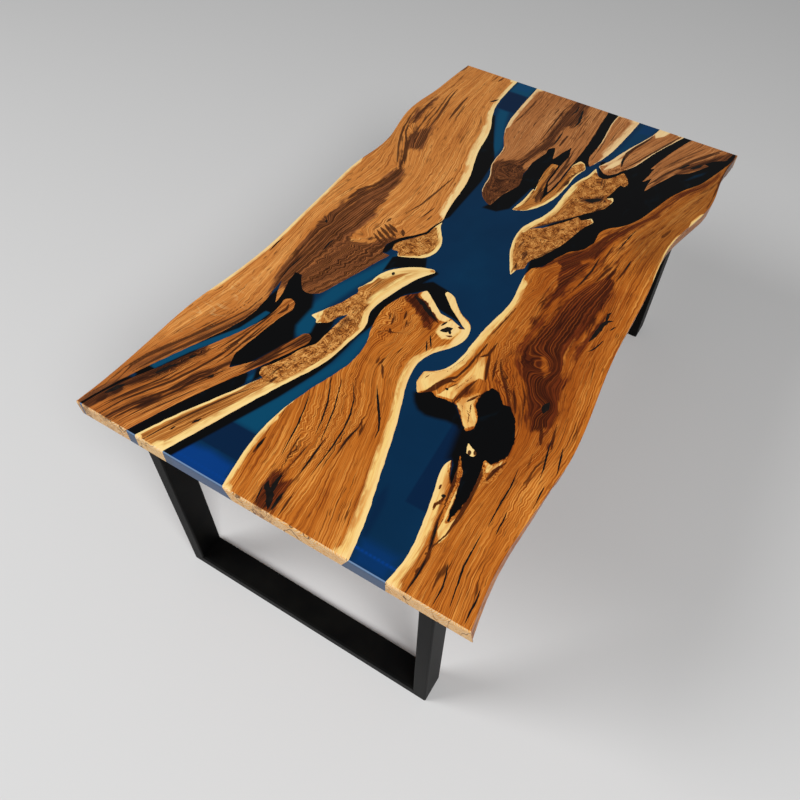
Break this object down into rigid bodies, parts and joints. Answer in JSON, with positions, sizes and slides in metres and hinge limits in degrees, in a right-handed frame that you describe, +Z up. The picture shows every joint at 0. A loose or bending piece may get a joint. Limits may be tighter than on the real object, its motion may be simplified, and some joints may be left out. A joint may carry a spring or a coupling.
{
  "type": "live edge dining table",
  "caption": "Live-edge dining table: interlocking wood boards joined by a cast blue resin river, carried on black steel tube leg frames.",
  "frame": {"origin": "on the floor under the centre of the table top's box", "axes": "+X along the table from the end near the viewer to the far end, +Y across it to the back edge, +Z up"},
  "size_m": [1.7, 1.0374, 0.75],
  "materials": {
    "heartwood": "satin",
    "burl_wood": "satin",
    "blue_resin": "gloss",
    "black_steel": "matt",
    "zinc_steel": "satin",
    "insert_brass": "satin"
  },
  "bodies": {
    "root": {"back_slab": "heartwood", "near_back_slab": "heartwood", "tongue_slab": "heartwood", "front_slab": "heartwood", "far_front_slab": "heartwood", "far_island": "heartwood", "far_strip": "heartwood", "burl_limb": "burl_wood", "front_branch": "burl_wood", "front_branch_end": "burl_wood", "far_claw": "burl_wood", "burl_knob": "burl_wood", "loose_splinter": "burl_wood", "river_resin": "blue_resin", "near_back_post": "black_steel", "near_front_post": "black_steel", "near_floor_rail": "black_steel", "near_top_bar": "black_steel", "far_back_post": "black_steel", "far_front_post": "black_steel", "far_floor_rail": "black_steel", "far_top_bar": "black_steel", "leg_bolts": "zinc_steel", "leg_inserts": "insert_brass"}
  },
  "joints": []
}
